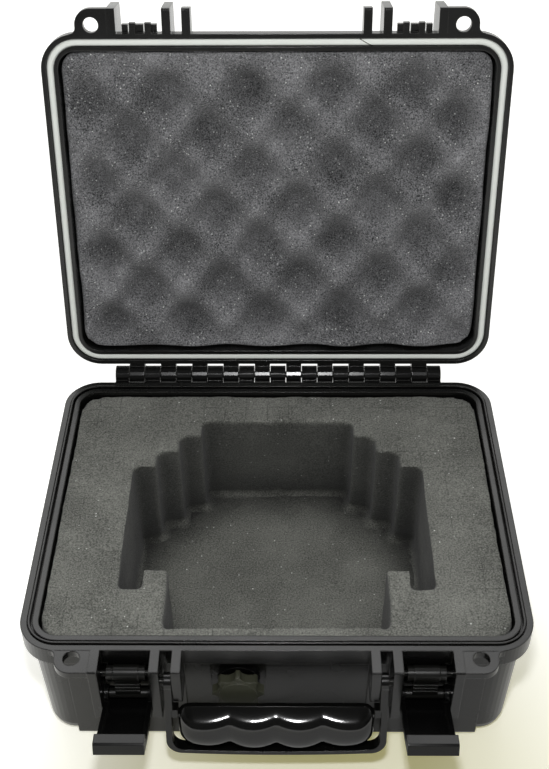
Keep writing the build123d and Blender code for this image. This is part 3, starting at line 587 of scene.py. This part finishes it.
# %% White paper
# Matt paper has no gloss to see. A little light of its own, which falls on nothing, keeps it white
# behind the case. Near the case's front that glow is weaker and yellow: a painted yellowish shade,
# laid over the lamps' real shadow where the case takes some of the light.
PAINTED_SHADE_PLACE = (0.05, -0.19, 0)
PAINTED_SHADE_FROM = 0.06
PAINTED_SHADE_TO = 0.3
material, tree, shader = new_material("white paper")
shader.inputs["Base Color"].default_value = linear("#f2f2f0")
shader.inputs["Roughness"].default_value = 0.9
place = add_node(tree, "ShaderNodeTexCoord").outputs["Object"]
from_spot = add_node(tree, "ShaderNodeVectorMath", {"operation": "DISTANCE"}, n0=place,
                     n1=PAINTED_SHADE_PLACE)
share = add_node(tree, "ShaderNodeMapRange", EASED, Value=from_spot.outputs["Value"],
                 n1=PAINTED_SHADE_FROM, n2=PAINTED_SHADE_TO, n3=0.0, n4=1.0)
# Painted shade: the glow is weak and yellow close to the case's front, and strong and white far
# from it.
tone = add_node(tree, "ShaderNodeMix", COLOUR, n0=share.outputs["Result"], n6=(0.2, 0.18, 0.02, 1),
                n7=(0.7, 0.7, 0.68, 1))
tree.links.new(tone.outputs[2], shader.inputs["Emission Color"])
path = add_node(tree, "ShaderNodeLightPath")
far = add_node(tree, "ShaderNodeMath", TIMES, n0=seen_or_mirrored(tree), n1=share.outputs["Result"])
glow = add_node(tree, "ShaderNodeMath", LARGER, n0=path.outputs["Is Camera Ray"],
                n1=far.outputs["Value"])
tree.links.new(glow.outputs["Value"], shader.inputs["Emission Strength"])
sweep.data.materials.append(material)
print("paper dims within", PAINTED_SHADE_TO, "m of a place before the case")

# %% [markdown]
# ## Light
# A dim room fills the shadows. A wide soft box behind and above makes the tops of the black
# plastic shine and lets the shadow fall forward. A small lamp just above the camera gives
# the glints on the grip and the pins, and the short shadow below each latch.

# %% The room
world = bpy.data.worlds.new("studio")
bpy.context.scene.world = world
world.use_nodes = True
tree = world.node_tree
room = tree.nodes["Background"]
room.inputs["Color"].default_value = (1, 1, 1, 1)
place = add_node(tree, "ShaderNodeTexCoord").outputs["Generated"]
split = add_node(tree, "ShaderNodeSeparateXYZ", Vector=place)
ceiling = add_node(tree, "ShaderNodeMapRange", EASED, Value=split.outputs["Z"],
                   n1=0.8, n2=0.95, n3=1.0, n4=CEILING)
front = add_node(tree, "ShaderNodeMapRange", EASED, Value=split.outputs["Y"],
                 n1=-0.35, n2=0.1, n3=CEILING, n4=1.0)
mirrored = add_node(tree, "ShaderNodeMath", TIMES, n0=ceiling.outputs["Result"],
                    n1=front.outputs["Result"])
path = add_node(tree, "ShaderNodeLightPath")
pale = add_node(tree, "ShaderNodeMath", LARGER, n0=path.outputs["Is Camera Ray"],
                n1=mirrored.outputs["Value"])
level = add_node(tree, "ShaderNodeMix", n0=seen_or_mirrored(tree), n2=ROOM_LEVEL,
                 n3=pale.outputs["Value"])
tree.links.new(level.outputs[0], room.inputs["Strength"])
print("room of", len(tree.nodes), "nodes")


# %% The lamps
def soft_box(name, place, aim, width, height, watts):
    """A rectangular lamp that faces a point. Places are in metres."""
    light = bpy.data.lights.new(name, "AREA")
    light.shape = "RECTANGLE"
    light.size = width
    light.size_y = height
    light.energy = watts
    lamp = bpy.data.objects.new(name, light)
    bpy.context.scene.collection.objects.link(lamp)
    lamp.location = place
    lamp.rotation_euler = (Vector(aim) - Vector(place)).to_track_quat("-Z", "Y").to_euler()
    lamp.visible_camera = False
    return lamp


soft_box("soft box behind", (-0.15, 1.1, 1.45), (0, 0, 0.05), 1.5, 0.9, BOX_WATTS)
soft_box("lamp above the camera", (0.0, -0.385, 0.65), (0, 0, 0.08), 0.05, 0.04, LAMP_WATTS)
print("lamps", BOX_WATTS, "and", LAMP_WATTS, "W")

# %% [markdown]
# ## Moulded black plastic
# The shells, ears and handle frame are a polypropylene copolymer, injection moulded in a mould with
# a finely eroded surface. The plastic itself is almost black, so what the eye sees is the pale room
# mirrored softly in it. Edges on a moulding are never sharp. Rather than cutting real fillets, the
# Bevel node bends the shading over each edge, which costs no faces, and where it bends, the colour
# turns slightly paler, in broad patches.

# %% Moulded plastic
def moulded_plastic(name, colour, edge_tone, roughness, spread, edge, grain, depth):
    """Black plastic. Edge radius and grain are in millimetres, and depth is the grain's height."""
    material, tree, shader = new_material(name)
    place = add_node(tree, "ShaderNodeTexCoord").outputs["Object"]
    fine = add_node(tree, "ShaderNodeTexNoise", Vector=place, Scale=1 / (grain * MM), Detail=2.0)
    broad = add_node(tree, "ShaderNodeTexNoise", Vector=place, Scale=1 / (35 * MM), Detail=4.0)
    soft = add_node(tree, "ShaderNodeBevel", {"samples": 6}, Radius=edge * MM)
    flat = add_node(tree, "ShaderNodeNewGeometry").outputs["Normal"]
    bend = add_node(tree, "ShaderNodeVectorMath", {"operation": "DOT_PRODUCT"},
                    n0=soft.outputs["Normal"], n1=flat)
    edge_paling = add_node(tree, "ShaderNodeMapRange", Value=bend.outputs["Value"], n1=0.995, n2=0.8,
                      n3=0.0, n4=1.0)
    patchy = add_node(tree, "ShaderNodeMath", TIMES, n0=edge_paling.outputs["Result"],
                      n1=broad.outputs["Fac"])
    tone = add_node(tree, "ShaderNodeMix", COLOUR, n0=patchy.outputs["Value"], n6=linear(colour),
                    n7=linear(edge_tone))
    tree.links.new(tone.outputs[2], shader.inputs["Base Color"])
    gloss = add_node(tree, "ShaderNodeMapRange", Value=broad.outputs["Fac"], n1=0.3, n2=0.7,
                     n3=roughness - spread, n4=roughness + spread)
    tree.links.new(gloss.outputs["Result"], shader.inputs["Roughness"])
    bump = add_node(tree, "ShaderNodeBump", Strength=0.35, Distance=depth * MM,
                    Height=fine.outputs["Fac"], Normal=soft.outputs["Normal"])
    tree.links.new(bump.outputs["Normal"], shader.inputs["Normal"])
    shader.inputs["IOR"].default_value = 1.49
    return material


# The eroded mould of the shells leaves a fine satin grain. The levers come from a smoother
# mould and look blacker, so their specular level is lower. The links are tougher nylon, a
# little paler, and the knob is matt nylon, which looks slightly green beside the rest.
shell_plastic = moulded_plastic("eroded black polypropylene", "#0a0a09", "#3a3935", 0.25, 0.05, 0.8,
                                0.9, 0.04)
latch_plastic = moulded_plastic("smooth black polypropylene", "#080808", "#2c2c29", 0.22, 0.04, 0.5,
                                1.6, 0.03)
latch_plastic.node_tree.nodes["Principled BSDF"].inputs["Specular IOR Level"].default_value = 0.3
link_plastic = moulded_plastic("glossy black nylon", "#11110f", "#2c2c29", 0.3, 0.05, 0.6, 1.4,
                               0.03)
knob_plastic = moulded_plastic("matt black nylon", "#3b3c30", "#4f5043", 0.4, 0.05, 0.6, 1.2, 0.04)
print("plastics", shell_plastic.name, latch_plastic.name, knob_plastic.name)

# %% [markdown]
# ## Rubber
# The grip is moulded thermoplastic rubber, smooth and a little glossy from hands. The
# valve's ring is plain rubber. The lid's seal is pale foamed rubber, whose skin shows fine
# pores and a slight stain, and its two ends meet in one slanting cut.

# %% Rubbers
def rubber(name, dark, pale, roughness, pore, depth):
    """Rubber with a soft mottle, and pores of a size and depth in millimetres."""
    material, tree, shader = new_material(name)
    place = add_node(tree, "ShaderNodeTexCoord").outputs["Object"]
    mottle = add_node(tree, "ShaderNodeTexNoise", Vector=place, Scale=1 / (14 * MM), Detail=5.0)
    tone = add_node(tree, "ShaderNodeMix", COLOUR, n0=mottle.outputs["Fac"], n6=linear(dark),
                    n7=linear(pale))
    tree.links.new(tone.outputs[2], shader.inputs["Base Color"])
    pores = add_node(tree, "ShaderNodeTexVoronoi", Vector=place, Scale=1 / (pore * MM))
    bump = add_node(tree, "ShaderNodeBump", Strength=0.4, Distance=depth * MM,
                    Height=pores.outputs["Distance"])
    tree.links.new(bump.outputs["Normal"], shader.inputs["Normal"])
    shader.inputs["Roughness"].default_value = roughness
    shader.inputs["IOR"].default_value = 1.52
    return material, tree, shader, tone


# The grip's polished mould gives tight bright glints. The ring's plain rubber gives a dull
# sheen, and the seal's foamed skin scatters light, so it looks chalky and very pale.
grip_rubber = rubber("moulded black rubber", "#070706", "#0f0f0e", 0.11, 1.2, 0.01)[0]
ring_rubber = rubber("plain black rubber", "#0c0c0c", "#181817", 0.5, 0.8, 0.03)[0]
seal_rubber, tree, shader, tone = rubber("pale foamed rubber", "#f2f6ef", "#fbfff8", 0.55, 0.7,
                                         0.06)

# %% The cut where the seal's ends meet
# The cut is a thin dark line, slanting across the lid's rim opposite the hinge.
CUT_X = 48.5
CUT_Z = 282
CUT_SLANT = 1.8
place = add_node(tree, "ShaderNodeTexCoord").outputs["Object"]
along = add_node(tree, "ShaderNodeVectorMath", {"operation": "DOT_PRODUCT"}, n0=place,
                 n1=(1, 0, CUT_SLANT))
on_line = add_node(tree, "ShaderNodeMath", {"operation": "COMPARE"}, n0=along.outputs["Value"],
                   n1=(CUT_X + CUT_SLANT * CUT_Z) * MM, n2=0.5 * MM)
split = add_node(tree, "ShaderNodeSeparateXYZ", Vector=place)
far_rim = add_node(tree, "ShaderNodeMath", {"operation": "GREATER_THAN"}, n0=split.outputs["Z"],
                   n1=(CUT_Z - 4) * MM)
cut = add_node(tree, "ShaderNodeMath", TIMES, n0=on_line.outputs["Value"],
               n1=far_rim.outputs["Value"])
joined = add_node(tree, "ShaderNodeMix", COLOUR, n0=cut.outputs["Value"], n6=tone.outputs[2],
                  n7=linear("#5d6058"))
tree.links.new(joined.outputs[2], shader.inputs["Base Color"])
print("seal's cut at x", CUT_X, "mm on the rim above", CUT_Z - 4, "mm")

# %% [markdown]
# ## Open-cell foam
# Polyether foam is a mesh of thin struts, so it drinks light: it has no gloss, a velvety edge and a
# grain of tiny dark cells, with here and there a strut that glints. The cells are about half a
# millimetre across, and are drawn at nearly a millimetre so that they show. The pluck foam also
# carries the faint, broken lines of its pre-cut grid. Where a foam piece hides itself, in the
# egg-crate's hollows and the pocket, its colour is darkened as painted shade.

# %% Open-cell foam
def open_cell_foam(name, dark, pale, glint_share, cell=0.9):
    """Foam with cells of a size in millimetres, glints in a share of its small patches, and painted
    shade where it hides itself.
    """
    material, tree, shader = new_material(name)
    place = add_node(tree, "ShaderNodeTexCoord").outputs["Object"]
    grain = add_node(tree, "ShaderNodeTexNoise", Vector=place, Scale=1 / (cell * MM), Detail=3.0,
                     Roughness=0.7)
    blotch = add_node(tree, "ShaderNodeTexNoise", Vector=place, Scale=1 / (26 * MM), Detail=3.0)
    mixed = add_node(tree, "ShaderNodeMath", {"operation": "MULTIPLY_ADD"},
                     n0=blotch.outputs["Fac"], n1=0.3, n2=grain.outputs["Fac"])
    share = add_node(tree, "ShaderNodeMapRange", Value=mixed.outputs["Value"], n1=0.46, n2=0.84,
                     n3=0.0, n4=1.0)
    tone = add_node(tree, "ShaderNodeMix", COLOUR, n0=share.outputs["Result"], n6=linear(dark),
                    n7=linear(pale))
    patch = add_node(tree, "ShaderNodeTexVoronoi", Vector=place, Scale=1 / (2.1 * MM))
    lucky = add_node(tree, "ShaderNodeSeparateColor", Color=patch.outputs["Color"])
    chosen = add_node(tree, "ShaderNodeMath", {"operation": "LESS_THAN"}, n0=lucky.outputs["Red"],
                      n1=glint_share)
    near = add_node(tree, "ShaderNodeMapRange", Value=patch.outputs["Distance"], n1=0.24, n2=0.12,
                    n3=0.0, n4=1.0)
    glint = add_node(tree, "ShaderNodeMath", TIMES, n0=chosen.outputs["Value"],
                     n1=near.outputs["Result"])
    sized = add_node(tree, "ShaderNodeMath", TIMES, n0=glint.outputs["Value"],
                     n1=lucky.outputs["Green"])
    bright = add_node(tree, "ShaderNodeMix", COLOUR, n0=sized.outputs["Value"], n6=tone.outputs[2],
                      n7=linear("#f4f6f2"))
    # Painted shade: the colour darkens where the foam hides itself from the sky, so hollows,
    # valleys and the pocket's walls and floor come out darker than their lighting alone makes them.
    painted_hollow_shade = add_node(tree, "ShaderNodeAmbientOcclusion", {"samples": 6, "only_local": True},
                        Distance=30 * MM)
    depth = add_node(tree, "ShaderNodeMapRange", {"clamp": True}, Value=painted_hollow_shade.outputs["AO"],
                     n1=0.45, n2=1.0, n3=0.05, n4=1.0)
    level = add_node(tree, "ShaderNodeCombineColor", Red=depth.outputs["Result"],
                     Green=depth.outputs["Result"], Blue=depth.outputs["Result"])
    hollow_shaded_tone = add_node(tree, "ShaderNodeMix", {"data_type": "RGBA", "blend_type": "MULTIPLY"}, n0=1.0,
                   n6=bright.outputs[2], n7=level.outputs["Color"])
    tree.links.new(hollow_shaded_tone.outputs[2], shader.inputs["Base Color"])
    bump = add_node(tree, "ShaderNodeBump", Strength=0.8, Distance=0.4 * MM,
                    Height=grain.outputs["Fac"])
    tree.links.new(bump.outputs["Normal"], shader.inputs["Normal"])
    shader.inputs["Roughness"].default_value = 0.95
    shader.inputs["Specular IOR Level"].default_value = 0.15
    shader.inputs["Sheen Weight"].default_value = 0.15
    shader.inputs["Sheen Roughness"].default_value = 0.6
    return material, tree, shader, hollow_shaded_tone


# The lid's foam is charcoal, so its glinting struts show as white specks. The pluck foam and
# the sheet are a warmer, paler grey, and duller.
lid_foam_finish = open_cell_foam("charcoal egg-crate foam", "#17191a", "#a4a4a6", 0.5)[0]
sheet_foam_finish = open_cell_foam("grey sheet foam", "#3a3b38", "#74756f", 0.03)[0]
pluck_foam_finish, tree, shader, bright = open_cell_foam("grey pluck foam", "#3f403c", "#8f9089",
                                                         0.06)

# %% The pluck foam's score lines and painted wall shade
def line_near(tree, along, start, pitch, half_width):
    """1 close to any line of a grid across one axis, and 0 elsewhere, in millimetres."""
    count = add_node(tree, "ShaderNodeMath", {"operation": "MULTIPLY_ADD"}, n0=along,
                     n1=1000 / pitch, n2=-start / pitch + 0.5)
    part = add_node(tree, "ShaderNodeMath", {"operation": "FRACT"}, n0=count.outputs["Value"])
    off = add_node(tree, "ShaderNodeMath", {"operation": "SUBTRACT"}, n0=part.outputs["Value"],
                   n1=0.5)
    away = add_node(tree, "ShaderNodeMath", {"operation": "ABSOLUTE"}, n0=off.outputs["Value"])
    return add_node(tree, "ShaderNodeMapRange", Value=away.outputs["Value"], n1=half_width / pitch,
                    n2=0.0, n3=0.0, n4=1.0).outputs["Result"]


place = add_node(tree, "ShaderNodeTexCoord").outputs["Object"]
sway = add_node(tree, "ShaderNodeTexNoise", Vector=place, Scale=1 / (15 * MM))
swayed = add_node(tree, "ShaderNodeVectorMath", {"operation": "MULTIPLY_ADD"},
                  n0=sway.outputs["Color"], n1=(1.6 * MM, 1.6 * MM, 0), n2=place)
split = add_node(tree, "ShaderNodeSeparateXYZ", Vector=swayed.outputs["Vector"])
lines_x = line_near(tree, split.outputs["X"], FOAM_LEFT + 0.8, CELL, 0.5)
lines_y = line_near(tree, split.outputs["Y"], FOAM_FRONT + 0.8, CELL, 0.5)
both = add_node(tree, "ShaderNodeMath", LARGER, n0=lines_x, n1=lines_y)
broken = add_node(tree, "ShaderNodeTexNoise", Vector=place, Scale=1 / (17 * MM), Detail=1.0)
shown = add_node(tree, "ShaderNodeMapRange", Value=broken.outputs["Fac"], n1=0.52, n2=0.64, n3=0.04,
                 n4=0.55)
up = add_node(tree, "ShaderNodeSeparateXYZ",
              Vector=add_node(tree, "ShaderNodeNewGeometry").outputs["Normal"])
facing_up = add_node(tree, "ShaderNodeMapRange", Value=up.outputs["Z"], n1=0.8, n2=0.95, n3=0.0,
                     n4=1.0)
high = add_node(tree, "ShaderNodeMapRange", Value=split.outputs["Z"], n1=(FOAM_TOP - 8) * MM,
                n2=(FOAM_TOP - 4) * MM, n3=0.0, n4=1.0)
top = add_node(tree, "ShaderNodeMath", TIMES, n0=facing_up.outputs["Result"],
               n1=high.outputs["Result"])
strong = add_node(tree, "ShaderNodeMath", TIMES, n0=both.outputs["Value"],
                  n1=shown.outputs["Result"])
on_top = add_node(tree, "ShaderNodeMath", TIMES, n0=strong.outputs["Value"],
                  n1=top.outputs["Value"])
cut = add_node(tree, "ShaderNodeMix", COLOUR, n0=on_top.outputs["Value"], n6=bright.outputs[2],
               n7=linear("#2c2d2a"))
# Painted shade: steep faces, the pocket's cut walls, get a much darker colour than the top, though
# the foam is the same all through.
steep_share = add_node(tree, "ShaderNodeMapRange", Value=up.outputs["Z"], n1=0.2, n2=0.7, n3=0.6, n4=0.0)
painted_wall_shade = add_node(tree, "ShaderNodeMix", COLOUR, n0=steep_share.outputs["Result"], n6=cut.outputs[2],
                n7=linear("#1d1e1b"))
tree.links.new(painted_wall_shade.outputs[2], shader.inputs["Base Color"])
print("score lines every", CELL, "mm")

# %% [markdown]
# ## Drawn steel
# The pins are plain drawn steel rod. Drawing leaves fine lines along the rod, and indoors the steel
# mirrors mostly dark plastic, with a little oil dulling it. Its colour is set far darker than bare
# steel's, which keeps the pins dark.

# %% Drawn steel
material, tree, shader = new_material("drawn steel rod")
place = add_node(tree, "ShaderNodeTexCoord").outputs["Object"]
stretch = add_node(tree, "ShaderNodeMapping", Vector=place, Scale=(0.04, 1, 1))
lines = add_node(tree, "ShaderNodeTexNoise", Vector=stretch.outputs["Vector"], Scale=1 / (0.5 * MM),
                 Detail=2.0)
gloss = add_node(tree, "ShaderNodeMapRange", Value=lines.outputs["Fac"], n1=0.3, n2=0.7, n3=0.25,
                 n4=0.45)
tone = add_node(tree, "ShaderNodeMix", COLOUR, n0=lines.outputs["Fac"], n6=linear("#222221"),
                n7=linear("#343433"))
tree.links.new(gloss.outputs["Result"], shader.inputs["Roughness"])
tree.links.new(tone.outputs[2], shader.inputs["Base Color"])
shader.inputs["Metallic"].default_value = 1.0
steel_rod = material
print("steel", steel_rod.name)

# %% [markdown]
# ## Every piece gets its finish
# The record names a material slot for each node of the model, so one table of finishes
# serves the nodes that stay. The pieces made here then get theirs, and the knob and the
# links get finishes of their own, because each is a different plastic.

# %% Give every piece its finish
FINISH = {
    "shell": shell_plastic, "latch": latch_plastic, "grip": grip_rubber, "seal": ring_rubber,
    "gasket": seal_rubber, "base_foam": sheet_foam_finish, "lid_foam": lid_foam_finish,
    "steel": steel_rod,
}
slots = {row["node"]: row["material_slot"] for row in frame["record"]["subparts"]}
for name, piece in frame["nodes"].items():
    piece.data.materials.clear()
    piece.data.materials.append(FINISH[slots[name]])
for piece, finish in ((foam, pluck_foam_finish), (pad, sheet_foam_finish), (egg, lid_foam_finish),
                      (gasket, seal_rubber), (grip, grip_rubber), (base_moulding, shell_plastic),
                      (lid_moulding, shell_plastic)):
    piece.data.materials.append(finish)
frame["nodes"]["valve_knob"].data.materials[0] = knob_plastic
for side in ("right", "left"):
    frame["nodes"]["latch_link_" + side].data.materials[0] = link_plastic
print("finishes", len(FINISH) + 3)

# %% [markdown]
# ## Measure and finish
# Dressing the model must not change its size, so the box of the dressed model is measured.

# %% Measure and finish
low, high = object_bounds()
